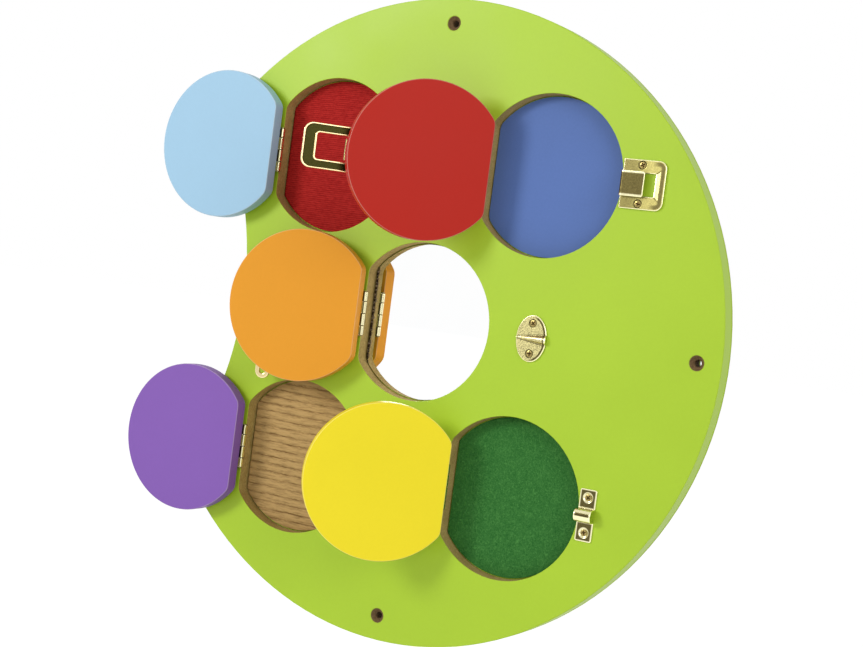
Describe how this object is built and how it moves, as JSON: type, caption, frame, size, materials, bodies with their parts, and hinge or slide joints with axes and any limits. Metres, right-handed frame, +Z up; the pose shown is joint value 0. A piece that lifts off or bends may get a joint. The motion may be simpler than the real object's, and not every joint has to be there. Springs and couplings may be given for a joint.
{
  "type": "wall activity board",
  "caption": "Round lime-green wall board with a curved bite in its edge and hinged coloured doors over recessed inlays of different feel, each with its own brass catch",
  "frame": {"origin": "centre of the disc on the back face, which lies on the wall", "axes": "+Y into the wall, -Y is the front, +Z up, +X to the right seen from the front"},
  "size_m": [0.5843, 0.1278, 0.58],
  "materials": {
    "lime_paint": "satin lime-green paint over fibreboard, raw brown inside the recesses",
    "hardboard": "thin brown hardboard, matt",
    "sky_paint": "satin light-blue paint",
    "red_paint": "satin red paint",
    "orange_paint": "satin orange paint",
    "purple_paint": "satin purple paint",
    "yellow_paint": "satin yellow paint",
    "red_ribbed_sheet": "finely ribbed red sheet",
    "blue_sheet": "smooth satin blue sheet",
    "mirror_sheet": "polished mirror",
    "brown_corrugated_sheet": "matt brown corrugated sheet",
    "green_felt": "dark green felt",
    "brass_fittings": "brass-plated pressed sheet"
  },
  "bodies": {
    "board": {"front_board": "lime_paint", "back_panel": "hardboard", "ribbed_inlay": "red_ribbed_sheet", "blue_inlay": "blue_sheet", "mirror_inlay": "mirror_sheet", "corrugated_inlay": "brown_corrugated_sheet", "felt_inlay": "green_felt", "sky_board_leaf": "brass_fittings", "red_board_leaf": "brass_fittings", "orange_board_leaf": "brass_fittings", "purple_board_leaf": "brass_fittings", "yellow_board_leaf": "brass_fittings", "sky_hinge_pin": "brass_fittings", "red_hinge_pin": "brass_fittings", "orange_hinge_pin": "brass_fittings", "purple_hinge_pin": "brass_fittings", "yellow_hinge_pin": "brass_fittings", "board_leaf_screws": "brass_fittings", "latch_keeper": "brass_fittings", "hook_keeper": "brass_fittings", "bolt_strap": "brass_fittings", "keeper_screws": "brass_fittings", "button_washers": "brass_fittings", "button_screws": "brass_fittings"},
    "sky_door": {"sky_door": "sky_paint", "sky_door_leaf": "brass_fittings", "sky_leaf_screws": "brass_fittings"},
    "red_door": {"red_door": "red_paint", "red_door_leaf": "brass_fittings", "red_leaf_screws": "brass_fittings", "latch_base": "brass_fittings", "latch_screws": "brass_fittings", "latch_lever_pin": "brass_fittings"},
    "orange_door": {"orange_door": "orange_paint", "orange_door_leaf": "brass_fittings", "orange_leaf_screws": "brass_fittings", "hook_plate": "brass_fittings", "hook_screws": "brass_fittings"},
    "purple_door": {"purple_door": "purple_paint", "purple_door_leaf": "brass_fittings", "purple_leaf_screws": "brass_fittings"},
    "yellow_door": {"yellow_door": "yellow_paint", "yellow_door_leaf": "brass_fittings", "yellow_leaf_screws": "brass_fittings", "bolt_plate": "brass_fittings", "bolt_screws": "brass_fittings", "bolt_guides": "brass_fittings"},
    "latch_lever": {"latch_lever": "brass_fittings", "latch_loop_pin": "brass_fittings"},
    "latch_loop": {"latch_loop": "brass_fittings"},
    "hook": {"hook": "brass_fittings"},
    "bolt": {"bolt": "brass_fittings"},
    "upper_turn_button": {"upper_turn_button": "brass_fittings"},
    "lower_turn_button": {"lower_turn_button": "brass_fittings"}
  },
  "joints": [
    {"name": "sky_hinge", "type": "hinge", "parent": "board", "child": "sky_door", "pos_m": [-0.16745, -0.0205, 0.14094], "axis": [0, 0, -1], "range_deg": [-180, 0]},
    {"name": "red_hinge", "type": "hinge", "parent": "board", "child": "red_door", "pos_m": [0.05295, -0.0205, 0.14094], "axis": [0, 0, -1], "range_deg": [-138, 32]},
    {"name": "orange_hinge", "type": "hinge", "parent": "board", "child": "orange_door", "pos_m": [-0.05425, -0.0205, 0], "axis": [0, 0, -1], "range_deg": [-169, 0]},
    {"name": "purple_hinge", "type": "hinge", "parent": "board", "child": "purple_door", "pos_m": [-0.16745, -0.0205, -0.14094], "axis": [0, 0, -1], "range_deg": [-180, 0]},
    {"name": "yellow_hinge", "type": "hinge", "parent": "board", "child": "yellow_door", "pos_m": [0.05295, -0.0205, -0.14094], "axis": [0, 0, -1], "range_deg": [-143, 20]},
    {"name": "latch_lever_turn", "type": "hinge", "parent": "red_door", "child": "latch_lever", "pos_m": [-0.02513, -0.08919, 0.14094], "axis": [0, 0, -1], "range_deg": [0, 165]},
    {"name": "latch_loop_turn", "type": "hinge", "parent": "latch_lever", "child": "latch_loop", "pos_m": [-0.03404, -0.09373, 0.14094], "axis": [0, 0, -1], "range_deg": [-165, 0]},
    {"name": "hook_swing", "type": "hinge", "parent": "orange_door", "child": "hook", "pos_m": [-0.14985, -0.03699, 0.0242], "axis": [-0.1908, 0.9816, 0], "range_deg": [-20, 85]},
    {"name": "bolt_slide", "type": "slide", "parent": "yellow_door", "child": "bolt", "axis": [-0.7986, -0.6018, 0], "range_m": [0, 0.028]},
    {"name": "upper_button_turn", "type": "hinge", "parent": "board", "child": "upper_turn_button", "pos_m": [-0.02996, -0.0201, 0.14094], "axis": [0, -1, 0], "range_deg": [-90, 90]},
    {"name": "lower_button_turn", "type": "hinge", "parent": "board", "child": "lower_turn_button", "pos_m": [-0.02996, -0.0201, -0.14094], "axis": [0, -1, 0], "range_deg": [-90, 90]}
  ],
  "couplings": [
    {"joint": "latch_loop_turn", "follows": "latch_lever_turn", "ratio": -1}
  ]
}
